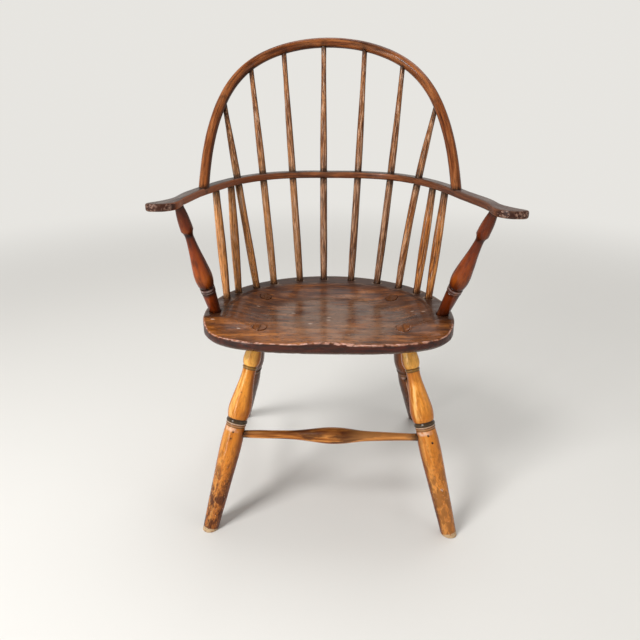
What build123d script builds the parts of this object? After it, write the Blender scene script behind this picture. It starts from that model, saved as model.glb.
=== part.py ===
from build123d import *
import os
from math import cos, exp, pi, radians, sin, sqrt

os.makedirs("parts", exist_ok=True)

# A windsor armchair with a round bow back, in millimetres.
# X runs to the sitter's left, the front looks along -Y, and the feet stand on Z = 0.
# Places are first laid out from the centre of the seat, then shifted so that the origin
# lies under the middle of the whole chair.

# Fits: every turned or shaved end sits in a round socket with this gap all round, and the
# long spindles' tips, which still bend a little inside the bow, with a wider one
FIT = 0.15
TIP_FIT = 0.25
OVERRUN = 12.0

# Seat: one carved plank, an ellipse behind the centre and a fuller curve in front of it
SEAT_HEIGHT = 435.0
SEAT_THICK = 42.0
SEAT_HALF_WIDTH = 263.5
SEAT_BACK = 238.0
SEAT_FRONT = 142.0
SEAT_FRONT_FULLNESS_SHARE = 3.0
SEAT_TOP_ROUND = 4.0
SEAT_UNDER_CHAMFER = 9.0

# Saddle: hollowed inside a gutter line that leaves a flat deck for posts and spindles
DECK_SIDE = 45.0
DECK_BACK = 58.0
DECK_FRONT_END = 42.0
GUTTER_FULLNESS_SHARE = 2.4
GUTTER_STEP = 2.0
SADDLE_DEEP = 17.5
SADDLE_RUN_SHARE = 0.42
SADDLE_FRONT_RUN = 55.0
POMMEL_RISE = 6.0
POMMEL_HALF_WIDTH = 48.0

# Arm rail: one flat bent piece round the back, ending in two hands that flare outwards
RAIL_HEIGHT = 681.0
RAIL_THICK = 15.0
RAIL_BACK_WIDTH = 25.0
RAIL_SIDE_WIDTH = 25.0
RAIL_ROUND = 3.5
RAIL_HALF_SPAN = 272.0
RAIL_BACK = 250.0
RAIL_BEND_SHARES = ((1.0, 0.0), (0.956, 0.152), (0.853, 0.448), (0.72, 0.69), (0.57, 0.855), (0.30, 0.98))
HAND_REACHES = (46.0, 82.0)
HAND_SPREAD_SHARES = (0.20, 0.34)
HAND_FLARE = 40.0
HAND_ROOT_WIDTH = 25.0
HAND_LENGTH = 86.0
HAND_SHARES = (
    (0.10, 0.27), (0.41, 0.54), (0.73, 0.71), (0.94, 0.81), (1.0, 0.885), (0.92, 0.96),
    (0.63, 1.0), (0.22, 0.99), (-0.15, 0.90), (-0.40, 0.73), (-0.49, 0.34),
)

# Back bow: a round hoop in one leaning plane, standing on the sides of the arm rail
BOW_THICK = 21.5
BOW_TENON = 11.0
BOW_TENON_DEEP = 10.0
BOW_RISE = 400.0
BOW_LEAN = 44.5
BOW_FOOT_BACK = 31.0
BOW_HALF_SPAN = 257.4
BOW_SHARES = ((1.0, 0.0), (0.992, 0.25), (0.933, 0.513), (0.827, 0.705), (0.671, 0.842), (0.415, 0.948))
BOW_CREST_SET = -8.7

# Spindles: seven run from the seat through the rail into the bow, four stop under the rail
SPINDLE_DEEP = 20.0
SPINDLE_FOOT = 15.5
SPINDLE_SWELL = 17.2
SPINDLE_RAIL = 16.4
SPINDLE_TIP = 11.2
SPINDLE_SWELL_SHARE = 0.3
LONG_INSET = 26.0
LONG_SEAT_SHARES = (-0.653, -0.51, -0.28, -0.061, 0.19, 0.425, 0.615)
LONG_RAIL_SHARES = (0.209, 0.300, 0.389, 0.478, 0.576, 0.672, 0.767)
LONG_BOW_SHARES = (0.221, 0.322, 0.4015, 0.487, 0.5735, 0.6625, 0.7865)
SHORT_INSET = 22.0
SHORT_DEEP = 9.0
SHORT_SWELL = 18.0
SHORT_SEAT_SHARES = (-0.869, -0.793, 0.759, 0.846)
SHORT_RAIL_SHARES = (0.11, 0.18, 0.83, 0.888)

# Arm posts: turned, leaning out and forward from the front of the deck to the hands
POST_SEAT_HALF_SPAN = 240.5
POST_SEAT_FRONT = 12.0
POST_AHEAD = 27.0
POST_OUTSET = 3.4
POST_SEAT_DEEP = 26.0
POST_RAIL_DEEP = 9.0
POST_FOOT = 23.5
POST_FOOT_CLEAR = 6.0
POST_BASE = 29.0
POST_GROOVE = 27.0
POST_GROOVE_LONG = 3.0
POST_RING = 31.0
POST_RING_LONG = 11.0
POST_RING_DOWN = 193.0
POST_BELLY = 37.0
POST_BELLY_DOWN = 159.0
POST_TAPER_SHARES = ((0.17, 0.86), (0.45, 0.51), (0.76, 0.14))
POST_NECK = 17.0
POST_NECK_DOWN = 65.5
POST_COLLAR = 25.5
POST_COLLAR_DOWN = 52.5
POST_HEAD_SHARES = ((0.35, 0.87), (0.70, 0.55))
POST_HEAD = 18.0
POST_HEAD_CLEAR = 6.0

# Legs: turned, splayed to the sides and raked, wedged in tapered holes right through the seat
LEG_TOP_HALF_SPANS = (144.0, 142.0)
LEG_TOP_BACKS = (-50.0, 101.0)
FOOT_HALF_SPANS = (254.0, 239.5)
FOOT_BACKS = (-178.0, 295.0)
LEG_ASIDES = (7.5, -2.0)
RING_ATS = (244.0, 220.0)
LEG_TENON = 25.0
LEG_SHOULDER = 31.5
LEG_SHOULDER_DOWN = 58.0
LEG_FOOT = 32.0
LEG_FOOT_ROUND = 1.5
LEG_LOWER_SHARES = ((0.25, 0.37), (0.55, 0.78), (0.84, 1.0))
LEG_SWELL = 44.5
LEG_RING = 44.4
LEG_RING_LONG = 9.0
LEG_BEAD = 42.6
LEG_BEAD_LONG = 5.0
LEG_WAIST = 40.8
LEG_VASE = 47.4
LEG_NECK = 28.4
LEG_VASE_SHARES = ((0.15, 1.0), (0.29, 0.74), (0.443, 0.32), (0.6, 0.0))
LEG_CORD = 31.0
LEG_CORD_LONG = 5.0
LEG_CORD_SHARE = 0.69
LEG_BALL = 36.0
LEG_BALL_UP = 12.0
WEDGE_THICK = 3.0
WEDGE_DEEP = 17.0

# Stretchers: one bulbed rail between the front legs, two plain swelled rails front to back
STRETCHER_DEEP = 17.0
FRONT_STRETCHER_HEIGHT = 199.5
FRONT_STRETCHER_END = 15.5
FRONT_STRETCHER_BULB = 34.8
FRONT_BULB_SHARES = (
    (0.186, 0.49), (0.341, 0.60), (0.437, 0.87), (0.506, 1.0), (0.595, 0.87), (0.665, 0.66), (0.757, 0.545),
    (0.861, 0.455),
)
SIDE_STRETCHER_HEIGHT = 170.0
SIDE_STRETCHER_END = 13.4
SIDE_STRETCHER_SWELL = 22.0

# Shifts from the centre of the seat to the origin under the middle of the chair
bow_up = Vector(0, sin(radians(BOW_LEAN)), cos(radians(BOW_LEAN)))
crest_back = BOW_FOOT_BACK + BOW_RISE * bow_up.Y + BOW_THICK / 2
foot_front = LEG_FOOT / 2 - FOOT_BACKS[0]
depth_shift = (foot_front - crest_back) / 2
tip_spans = [
    RAIL_HALF_SPAN + reach * spread + HAND_ROOT_WIDTH / 2 + HAND_FLARE
    for reach, spread in zip(HAND_REACHES, HAND_SPREAD_SHARES)
]
side_shift = (tip_spans[0] - tip_spans[1]) / 2
rail_top = RAIL_HEIGHT + RAIL_THICK / 2
rail_under = RAIL_HEIGHT - RAIL_THICK / 2
seat_under = SEAT_HEIGHT - SEAT_THICK


def place(x, y, z):
    """A point laid out from the centre of the seat, in the chair's own frame."""
    return Vector(x + side_shift, y + depth_shift, z)


def level(height):
    """A horizontal plane whose origin lies over the centre of the seat."""
    return Plane(place(0, 0, height))


def superellipse(half_x, half_y, power, turn_share):
    """A point at a share of a full turn on an ellipse squared up by its power."""
    x, y = cos(2 * pi * turn_share), sin(2 * pi * turn_share)
    reach = (abs(x) ** power + abs(y) ** power) ** (-1 / power)
    return (half_x * x * reach, half_y * y * reach)


def bar(start, end, size):
    """A straight round bar between two points."""
    with BuildPart() as straight:
        with BuildSketch(Plane(origin=start, z_dir=end - start)):
            Circle(size / 2)
        extrude(amount=(end - start).length)
    return straight.part


def bar_along(path, share, back, ahead, size):
    """A straight round bar through a path, in the path's direction at a share of its length."""
    spot = path @ share
    along = path % share
    return bar(spot - along * back, spot + along * ahead, size)


def turned(start, end, curves):
    """A turning round the line from start to end.

    The curves are lists of (diameter, distance from the start) that join end to end.
    """
    run = end - start
    side = run.cross(Vector(0, 0, 1) if abs(run.Z) < run.length / 2 else Vector(0, 1, 0))
    with BuildPart() as blank:
        with BuildSketch(Plane(origin=start, x_dir=side, z_dir=side.cross(run))):
            with BuildLine():
                for curve in curves:
                    points = [(size / 2, distance) for size, distance in curve]
                    if len(points) == 2:
                        Line(*points)
                    else:
                        Spline(*points)
                first_size, first_at = curves[0][0]
                last_size, last_at = curves[-1][-1]
                Polyline((last_size / 2, last_at), (0, last_at), (0, first_at), (first_size / 2, first_at))
            make_face()
        revolve(axis=Axis(start, run))
    return blank.part


def bent_rod(path, sizes):
    """A round rod lofted along a path through (share of the length, diameter) sizes."""
    with BuildPart() as rod:
        for share, size in sizes:
            with BuildSketch(Plane(origin=path @ share, x_dir=(1, 0, 0), z_dir=path % share)):
                Circle(size / 2)
        loft()
    return rod.part


# Saddle tool: everything above the carved surface, inside the gutter line
gutter_half_width = SEAT_HALF_WIDTH - DECK_SIDE
gutter_back = SEAT_BACK - DECK_BACK
SADDLE_STEPS = 28
OUTLINE_STEPS = 24


def saddle_drop(x, y):
    """How far the carved surface lies under the deck at a place on the seat."""
    across = abs(x / gutter_half_width) ** GUTTER_FULLNESS_SHARE
    behind = (max(y, 0) / gutter_back) ** GUTTER_FULLNESS_SHARE
    inside = max(1 - (across + behind) ** (1 / GUTTER_FULLNESS_SHARE), 0) / SADDLE_RUN_SHARE
    ahead = max(-y - DECK_FRONT_END, 0) / SADDLE_FRONT_RUN
    share = min(sqrt(inside ** 2 + ahead ** 2), 1)
    fall = share ** 2 * (3 - 2 * share)
    pommel = exp(-(x / POMMEL_HALF_WIDTH) ** 2) * (max(-y, 0) / SEAT_FRONT) ** 2
    return GUTTER_STEP + (SADDLE_DEEP - GUTTER_STEP) * fall - POMMEL_RISE * pommel


saddle_half_width = SEAT_HALF_WIDTH + OVERRUN
saddle_length = SEAT_FRONT + gutter_back + 2 * OVERRUN
saddle_grid = []
for row in range(SADDLE_STEPS + 1):
    y = saddle_length * row / SADDLE_STEPS - SEAT_FRONT - OVERRUN
    columns = [saddle_half_width * (2 * column / SADDLE_STEPS - 1) for column in range(SADDLE_STEPS + 1)]
    saddle_grid.append([place(x, y, SEAT_HEIGHT - saddle_drop(x, y)) for x in columns])
saddle_face = Face.make_surface_from_array_of_points(saddle_grid, tol=GUTTER_STEP / 20)

with BuildPart() as saddle_tool:
    with BuildSketch(level(seat_under)):
        with BuildLine():
            corner = (gutter_half_width, -DECK_FRONT_END)
            gutter_points = [
                superellipse(gutter_half_width, gutter_back, GUTTER_FULLNESS_SHARE, step / OUTLINE_STEPS)
                for step in range(OUTLINE_STEPS // 2 + 1)
            ]
            Spline(*gutter_points, tangents=((0, 1), (0, -1)))
            Polyline(
                gutter_points[0],
                corner,
                (saddle_half_width, -DECK_FRONT_END),
                (saddle_half_width, -SEAT_FRONT - OVERRUN),
                (-saddle_half_width, -SEAT_FRONT - OVERRUN),
                (-saddle_half_width, -DECK_FRONT_END),
                (-corner[0], corner[1]),
                gutter_points[-1],
            )
        make_face()
    extrude(amount=2 * SEAT_THICK)
    add(Solid.extrude(saddle_face, Vector(0, 0, 2 * SEAT_THICK)), mode=Mode.INTERSECT)

# Arm rail run: the bend round the back, which carries the spindles and the bow
rail_half = [(share_x * RAIL_HALF_SPAN, share_y * RAIL_BACK) for share_x, share_y in RAIL_BEND_SHARES]
rail_points = [(-x, y) for x, y in rail_half] + [(0, RAIL_BACK)] + rail_half[::-1]
with BuildLine() as rail_bend_line:
    Spline(
        *[place(x, y, RAIL_HEIGHT) for x, y in rail_points],
        tangents=((HAND_SPREAD_SHARES[0], 1), (HAND_SPREAD_SHARES[1], -1)),
    )
rail_bend = rail_bend_line.edge()


def rail_width(share):
    """The rail's width at a share of the bend: narrow behind, wider at the sides."""
    return RAIL_BACK_WIDTH + (RAIL_SIDE_WIDTH - RAIL_BACK_WIDTH) * (2 * share - 1) ** 2


def rail_edge(share, outward):
    """A point on the outer or inner edge of the bend, seen from the centre of the seat."""
    tangent = rail_bend % share
    spot = rail_bend @ share - place(0, 0, 0)
    away = outward * rail_width(share) / 2
    return (spot.X - tangent.Y * away, spot.Y + tangent.X * away)


def hand_root(hand):
    """The side a hand is on, and the middle of the rail where that hand starts."""
    side = (-1, 1)[hand]
    reach = HAND_REACHES[hand]
    return side, side * (RAIL_HALF_SPAN + reach * HAND_SPREAD_SHARES[hand]), -reach


def hand_points(hand):
    """The outline of a hand, from the rail's outer edge round the front to its inner edge."""
    side, root_x, root_y = hand_root(hand)
    outer = root_x + side * HAND_ROOT_WIDTH / 2
    inner = root_x - side * HAND_ROOT_WIDTH / 2
    tip = [(outer + side * HAND_FLARE * a, root_y - HAND_LENGTH * b) for a, b in HAND_SHARES]
    return [(outer, root_y), *tip, (inner, root_y)]


EDGE_STATIONS = 12
stations = [step / EDGE_STATIONS for step in range(EDGE_STATIONS + 1)]
rail_outline = [rail_edge(share, 1) for share in stations]
rail_outline += hand_points(1)
rail_outline += [rail_edge(share, -1) for share in reversed(stations)]
rail_outline += reversed(hand_points(0))

# Bow plane and hoop
bow_plane = Plane(place(0, BOW_FOOT_BACK, RAIL_HEIGHT), x_dir=(1, 0, 0), z_dir=Vector(1, 0, 0).cross(bow_up))
bow_half = [(BOW_HALF_SPAN * share_x, BOW_RISE * share_y) for share_x, share_y in BOW_SHARES]
bow_points = [(BOW_CREST_SET * y / BOW_RISE - x, y) for x, y in bow_half]
bow_points += [(BOW_CREST_SET, BOW_RISE)]
bow_points += [(BOW_CREST_SET * y / BOW_RISE + x, y) for x, y in reversed(bow_half)]
with BuildLine(bow_plane) as bow_line:
    Spline(*bow_points)
bow_run = bow_line.edge()


def deck_spot(share, inset):
    """A place on the deck: a share of the seat's half width, at an inset from its edge."""
    x = share * SEAT_HALF_WIDTH
    y = (SEAT_BACK - inset) * sqrt(1 - (x / (SEAT_HALF_WIDTH - inset)) ** 2)
    return place(x, y, SEAT_HEIGHT)


# Spindle paths: through the rail's middle into the bow's, or straight up into the rail
long_paths = []
for seat_share, rail_share, bow_share in zip(LONG_SEAT_SHARES, LONG_RAIL_SHARES, LONG_BOW_SHARES):
    foot = deck_spot(seat_share, LONG_INSET)
    through = rail_bend @ rail_share
    below = foot + (foot - through).normalized() * SPINDLE_DEEP
    with BuildLine() as long_line:
        Spline(below, through, bow_run @ bow_share)
    path = long_line.edge()
    long_paths.append((path, path.param_at_point(through)))

short_paths = []
for seat_share, rail_share in zip(SHORT_SEAT_SHARES, SHORT_RAIL_SHARES):
    foot = deck_spot(seat_share, SHORT_INSET)
    under = rail_bend @ rail_share - Vector(0, 0, RAIL_THICK / 2)
    rise = (under - foot).normalized()
    with BuildLine() as short_line:
        Line(foot - rise * SPINDLE_DEEP, under + rise * SHORT_DEEP)
    short_paths.append(short_line.edge())


def long_sizes(path, rail_at):
    """Places and diameters of a long spindle, whose run through the rail and tip are straight."""
    thick_share = RAIL_THICK / path.length
    return (
        (0, SPINDLE_FOOT),
        (SPINDLE_DEEP / path.length, SPINDLE_FOOT),
        (rail_at * SPINDLE_SWELL_SHARE, SPINDLE_SWELL),
        (rail_at - thick_share, SPINDLE_RAIL),
        (rail_at + thick_share, SPINDLE_RAIL),
        ((1 + rail_at) / 2, (SPINDLE_RAIL + SPINDLE_TIP) / 2),
        (1 - 2 * BOW_THICK / path.length, SPINDLE_TIP),
        (1, SPINDLE_TIP),
    )


def short_sizes(path):
    """Places and diameters of a short spindle, with straight ends and a swelled middle."""
    return (
        (0, SPINDLE_FOOT),
        (SPINDLE_DEEP / path.length, SPINDLE_FOOT),
        (SPINDLE_SWELL_SHARE, SHORT_SWELL),
        (1 - SPINDLE_SWELL_SHARE, SHORT_SWELL),
        (1 - SPINDLE_DEEP / path.length, SPINDLE_FOOT),
        (1, SPINDLE_FOOT),
    )


def seat_bores():
    """The blind holes for the spindles in the deck."""
    paths = [path for path, rail_at in long_paths] + short_paths
    return [bar_along(path, 0, FIT, SPINDLE_DEEP + OVERRUN, SPINDLE_FOOT + 2 * FIT) for path in paths]


# Arm posts
post_ends = []
for hand in (0, 1):
    side, root_x, root_y = hand_root(hand)
    seat_end = place(side * POST_SEAT_HALF_SPAN, -POST_SEAT_FRONT, SEAT_HEIGHT)
    rail_end = place(root_x + side * POST_OUTSET, root_y - POST_AHEAD, rail_under)
    post_ends.append((seat_end, rail_end))


def between(start, end, shares):
    """Points between two (diameter, distance) ends, from shares of their distance and diameter.

    A diameter share of one is the larger end's, and a share of nothing is the smaller end's.
    """
    small, large = sorted((start[0], end[0]))
    return [(small + (large - small) * grow, start[1] + (end[1] - start[1]) * at) for at, grow in shares]


def post_curves(length):
    """The post's outline, from the end in the seat to the end in the hand."""
    ring_low = length - POST_RING_DOWN - POST_RING_LONG / 2
    ring_high = ring_low + POST_RING_LONG
    base_at = ring_low - POST_GROOVE_LONG
    belly_from = ring_high + POST_GROOVE_LONG
    belly = (POST_BELLY, length - POST_BELLY_DOWN)
    neck = (POST_NECK, length - POST_NECK_DOWN)
    collar = (POST_COLLAR, length - POST_COLLAR_DOWN)
    head = (POST_HEAD, length - POST_HEAD_CLEAR)
    return [
        [(POST_FOOT, -POST_SEAT_DEEP), (POST_FOOT, POST_FOOT_CLEAR)],
        [(POST_FOOT, POST_FOOT_CLEAR), ((POST_FOOT + POST_BASE) / 2, base_at / 2), (POST_BASE, base_at)],
        [(POST_BASE, base_at), (POST_GROOVE, (base_at + ring_low) / 2), (POST_RING, ring_low)],
        [(POST_RING, ring_low), (POST_RING, ring_high)],
        [(POST_RING, ring_high), (POST_GROOVE, (ring_high + belly_from) / 2), (POST_RING, belly_from)],
        [(POST_RING, belly_from), belly, *between(belly, neck, POST_TAPER_SHARES), neck],
        [neck, ((POST_NECK * 2 + POST_COLLAR) / 3, (neck[1] + collar[1]) / 2), collar],
        [collar, *between(collar, head, POST_HEAD_SHARES), head],
        [head, (POST_HEAD, length + POST_RAIL_DEEP)],
    ]


# Legs
LEGS = [(name, side, end) for end, name in enumerate(("front", "rear")) for side in (-1, 1)]


def leg_line(side, end):
    """The middle of a foot on the floor, and of the leg's tenon at the deck's height."""
    aside = LEG_ASIDES[end]
    foot = place(side * FOOT_HALF_SPANS[end] + aside, FOOT_BACKS[end], 0)
    top = place(side * LEG_TOP_HALF_SPANS[end] + aside, LEG_TOP_BACKS[end], SEAT_HEIGHT)
    return foot, top


def tenon_curves(length, grow=0.0):
    """The tapered tenon, from the shoulder under the seat to above the seat."""
    return [
        [(LEG_SHOULDER + grow, length - LEG_SHOULDER_DOWN), (LEG_TENON + grow, length)],
        [(LEG_TENON + grow, length), (LEG_TENON + grow, length + OVERRUN)],
    ]


def leg_curves(length, ring_at):
    """The leg's outline, from under the floor line to above the seat."""
    bead_low = ring_at - LEG_RING_LONG / 2 - LEG_BEAD_LONG
    ring_low = ring_at - LEG_RING_LONG / 2
    ring_high = ring_at + LEG_RING_LONG / 2
    shoulder_at = length - LEG_SHOULDER_DOWN
    upper = shoulder_at - ring_high
    cord_low = ring_high + upper * LEG_CORD_SHARE
    cord_high = cord_low + LEG_CORD_LONG
    ball_at = cord_high + LEG_BALL_UP
    foot = (LEG_FOOT, 0)
    swell = (LEG_SWELL, ring_at)
    vase_end = (LEG_VASE, ring_high)
    neck_end = (LEG_NECK, shoulder_at)
    return [
        [(LEG_FOOT, -OVERRUN), foot],
        [foot, *between(foot, swell, LEG_LOWER_SHARES), (LEG_WAIST, bead_low)],
        [(LEG_WAIST, bead_low), (LEG_BEAD, (bead_low + ring_low) / 2), (LEG_WAIST, ring_low)],
        [(LEG_WAIST, ring_low), (LEG_RING, ring_at), (LEG_WAIST, ring_high)],
        [(LEG_WAIST, ring_high), *between(vase_end, neck_end, LEG_VASE_SHARES), (LEG_NECK, cord_low)],
        [(LEG_NECK, cord_low), (LEG_CORD, (cord_low + cord_high) / 2), (LEG_NECK, cord_high)],
        [
            (LEG_NECK, cord_high),
            (LEG_BALL, ball_at),
            ((LEG_BALL + LEG_SHOULDER) / 2, (ball_at + shoulder_at) / 2),
            (LEG_SHOULDER, shoulder_at),
        ],
        *tenon_curves(length),
    ]


def on_leg(side, end, height):
    """The middle of a leg at a height."""
    foot, top = leg_line(side, end)
    return foot + (top - foot) * (height / SEAT_HEIGHT)


# Stretchers
def stretcher_curves(length, end_size, middle_size, shares):
    """A swelled rail with straight ends in the legs; distances run from the middle of a leg."""
    inside = LEG_SWELL / 2
    tip = inside - STRETCHER_DEEP
    swell = [(middle_size * share, length * at) for at, share in shares]
    return [
        [(end_size, tip), (end_size, inside)],
        [(end_size, inside), *swell, (end_size, length - inside)],
        [(end_size, length - inside), (end_size, length - tip)],
    ]


def stretcher_bores(start, end, size):
    """The blind holes for a stretcher's two ends."""
    along = (end - start).normalized()
    tip = LEG_SWELL / 2 - STRETCHER_DEEP - FIT
    out = LEG_SWELL + OVERRUN
    return [
        bar(start + along * tip, start + along * out, size + 2 * FIT),
        bar(end - along * out, end - along * tip, size + 2 * FIT),
    ]


front_low = on_leg(-1, 0, FRONT_STRETCHER_HEIGHT)
front_high = on_leg(1, 0, FRONT_STRETCHER_HEIGHT)
front_curves = stretcher_curves(
    (front_high - front_low).length, FRONT_STRETCHER_END, FRONT_STRETCHER_BULB, FRONT_BULB_SHARES
)
side_lines = []
for side in (-1, 1):
    side_lines.append((on_leg(side, 0, SIDE_STRETCHER_HEIGHT), on_leg(side, 1, SIDE_STRETCHER_HEIGHT)))
side_curves = stretcher_curves(
    (side_lines[0][1] - side_lines[0][0]).length,
    SIDE_STRETCHER_END,
    SIDE_STRETCHER_SWELL,
    ((0.25, 0.8), (0.5, 1.0), (0.75, 0.8)),
)


def bow_tenon(share, grow=0.0):
    """The thinner end of the bow, from inside the bow down into the rail."""
    end = bow_run @ share
    upward = bow_run % share * (1 if share == 0 else -1)
    deep = (BOW_TENON_DEEP - RAIL_THICK / 2) / upward.Z
    rise = (RAIL_THICK / 2 + BOW_THICK) / upward.Z
    return bar(end - upward * deep, end + upward * rise, BOW_TENON + grow)


def rail_bores():
    """The holes in the rail for the spindles, the posts' heads and the bow's ends."""
    holes = [
        bar_along(path, rail_at, RAIL_THICK, RAIL_THICK, SPINDLE_RAIL + 2 * FIT)
        for path, rail_at in long_paths
    ]
    holes += [bar_along(path, 1, SHORT_DEEP + OVERRUN, FIT, SPINDLE_FOOT + 2 * FIT) for path in short_paths]
    for seat_end, rail_end in post_ends:
        along = (rail_end - seat_end).normalized()
        deep = along * (POST_RAIL_DEEP + FIT)
        holes.append(bar(rail_end - along * OVERRUN, rail_end + deep, POST_HEAD + 2 * FIT))
    return holes + [bow_tenon(share, 2 * FIT) for share in (0, 1)]


# The seat
with BuildPart() as seat:
    with BuildSketch(level(seat_under)):
        with BuildLine():
            turns = [(step + 0.5) / OUTLINE_STEPS for step in range(OUTLINE_STEPS)]
            back_points = [superellipse(SEAT_HALF_WIDTH, SEAT_BACK, 2, turn) for turn in turns[:OUTLINE_STEPS // 2]]
            front_points = [
                superellipse(SEAT_HALF_WIDTH, SEAT_FRONT, SEAT_FRONT_FULLNESS_SHARE, turn)
                for turn in turns[OUTLINE_STEPS // 2:]
            ]
            Spline(*back_points, *front_points, periodic=True)
        make_face()
    extrude(amount=SEAT_THICK)
    fillet(seat.faces().sort_by(Axis.Z)[-1].edges(), radius=SEAT_TOP_ROUND)
    chamfer(seat.faces().sort_by(Axis.Z)[0].edges(), length=SEAT_UNDER_CHAMFER)
    add(saddle_tool.part, mode=Mode.SUBTRACT)
    for hole in seat_bores():
        add(hole, mode=Mode.SUBTRACT)
    for seat_end, rail_end in post_ends:
        along = (rail_end - seat_end).normalized()
        deep = along * (POST_SEAT_DEEP + FIT)
        add(bar(seat_end - deep, seat_end + along * OVERRUN, POST_FOOT + 2 * FIT), mode=Mode.SUBTRACT)
    for name, side, end in LEGS:
        foot, top = leg_line(side, end)
        add(turned(foot, top, tenon_curves((top - foot).length, 2 * FIT)), mode=Mode.SUBTRACT)
seat.part.label = "seat"
export_step(seat.part, "parts/seat.step")

# The arm rail
with BuildPart() as arm_rail:
    with BuildSketch(level(rail_under), level(rail_top)):
        with BuildLine():
            Spline(*rail_outline, periodic=True)
        make_face()
    loft()
    fillet(arm_rail.edges().filter_by(Plane.XY), radius=RAIL_ROUND)
    add(rail_bores(), mode=Mode.SUBTRACT)
arm_rail.part.label = "arm_rail"
export_step(arm_rail.part, "parts/arm_rail.step")

# The back bow
with BuildPart() as back_bow:
    with BuildSketch(Plane(origin=bow_run @ 0, x_dir=(1, 0, 0), z_dir=bow_run % 0)):
        Circle(BOW_THICK / 2)
    sweep(path=bow_run)
    with BuildSketch(level(rail_top + FIT)):
        Rectangle(4 * BOW_HALF_SPAN, 4 * BOW_HALF_SPAN)
    extrude(amount=-RAIL_THICK - OVERRUN, mode=Mode.SUBTRACT)
    for share in (0, 1):
        add(bow_tenon(share))
    for path, rail_at in long_paths:
        inside = 1 - BOW_THICK / path.length
        hole = bar_along(path, inside, BOW_THICK, BOW_THICK + FIT, SPINDLE_TIP + 2 * TIP_FIT)
        add(hole, mode=Mode.SUBTRACT)
back_bow.part.label = "back_bow"
export_step(back_bow.part, "parts/back_bow.step")

# The spindles, numbered from the sitter's right
for number, (path, rail_at) in enumerate(long_paths, 1):
    with BuildPart() as spindle:
        add(bent_rod(path, long_sizes(path, rail_at)))
    spindle.part.label = f"long_spindle_{number}"
    export_step(spindle.part, f"parts/long_spindle_{number}.step")

for number, path in enumerate(short_paths, 1):
    with BuildPart() as spindle:
        add(bent_rod(path, short_sizes(path)))
    spindle.part.label = f"short_spindle_{number}"
    export_step(spindle.part, f"parts/short_spindle_{number}.step")

# The arm posts
for name, (seat_end, rail_end) in zip(("right", "left"), post_ends):
    with BuildPart() as post:
        add(turned(seat_end, rail_end, post_curves((rail_end - seat_end).length)))
    post.part.label = f"arm_post_{name}"
    export_step(post.part, f"parts/arm_post_{name}.step")

# The legs, cut level at the floor and flush with the seat, and their wedges
stretcher_holes = stretcher_bores(front_low, front_high, FRONT_STRETCHER_END)
for start, finish in side_lines:
    stretcher_holes += stretcher_bores(start, finish, SIDE_STRETCHER_END)
for name, side, end in LEGS:
    foot, top = leg_line(side, end)
    sitter_side = "left" if side > 0 else "right"
    wedge_plane = Plane(origin=top, x_dir=(1, 0, 0), z_dir=top - foot)
    with BuildPart() as leg:
        add(turned(foot, top, leg_curves((top - foot).length, RING_ATS[end])))
        with BuildSketch(level(0)):
            Rectangle(4 * SEAT_HALF_WIDTH, 4 * SEAT_HALF_WIDTH)
        extrude(amount=-OVERRUN * 2, mode=Mode.SUBTRACT)
        chamfer(leg.faces().sort_by(Axis.Z)[0].edges(), length=LEG_FOOT_ROUND)
        add(saddle_tool.part, mode=Mode.SUBTRACT)
        for hole in stretcher_holes:
            add(hole, mode=Mode.SUBTRACT)
        with BuildSketch(wedge_plane):
            Rectangle(WEDGE_THICK + 2 * FIT, LEG_SHOULDER)
        extrude(amount=SADDLE_DEEP + WEDGE_DEEP, both=True, mode=Mode.SUBTRACT)
    leg.part.label = f"{name}_leg_{sitter_side}"
    export_step(leg.part, f"parts/{name}_leg_{sitter_side}.step")
    with BuildPart() as wedge:
        with BuildSketch(wedge_plane):
            Rectangle(WEDGE_THICK, LEG_TENON)
        extrude(amount=SADDLE_DEEP + WEDGE_DEEP, both=True)
        add(turned(foot, top, leg_curves((top - foot).length, RING_ATS[end])), mode=Mode.INTERSECT)
        add(saddle_tool.part, mode=Mode.SUBTRACT)
    wedge.part.label = f"{name}_wedge_{sitter_side}"
    export_step(wedge.part, f"parts/{name}_wedge_{sitter_side}.step")

# The stretchers
with BuildPart() as front_stretcher:
    add(turned(front_low, front_high, front_curves))
front_stretcher.part.label = "front_stretcher"
export_step(front_stretcher.part, "parts/front_stretcher.step")

for name, (start, finish) in zip(("right", "left"), side_lines):
    with BuildPart() as side_stretcher:
        add(turned(start, finish, side_curves))
    side_stretcher.part.label = f"side_stretcher_{name}"
    export_step(side_stretcher.part, f"parts/side_stretcher_{name}.step")
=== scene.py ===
from math import cos, radians, sin

import bpy
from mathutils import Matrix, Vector


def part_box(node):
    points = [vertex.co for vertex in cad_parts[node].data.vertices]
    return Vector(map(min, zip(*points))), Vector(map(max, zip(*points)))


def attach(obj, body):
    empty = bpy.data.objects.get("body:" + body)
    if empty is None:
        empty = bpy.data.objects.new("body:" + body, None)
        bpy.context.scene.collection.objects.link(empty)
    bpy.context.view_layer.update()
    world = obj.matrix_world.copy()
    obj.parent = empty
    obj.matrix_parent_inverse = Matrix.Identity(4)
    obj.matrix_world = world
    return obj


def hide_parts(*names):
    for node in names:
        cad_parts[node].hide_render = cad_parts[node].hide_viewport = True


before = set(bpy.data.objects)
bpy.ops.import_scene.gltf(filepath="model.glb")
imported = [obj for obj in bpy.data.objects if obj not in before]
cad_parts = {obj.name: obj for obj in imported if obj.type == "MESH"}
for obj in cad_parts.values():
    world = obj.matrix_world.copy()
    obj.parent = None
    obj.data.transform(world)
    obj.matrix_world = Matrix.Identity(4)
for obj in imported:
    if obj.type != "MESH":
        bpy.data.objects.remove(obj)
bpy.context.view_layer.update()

# The seat: one thick elm plank, sawn to a shield shape, hollowed with an adze and scraped
# smooth. Its grain runs from side to side under old wax that has gone dark, and its front
# arris is worn pale by legs.
SEAT_VOXEL = 0.0025
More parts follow.
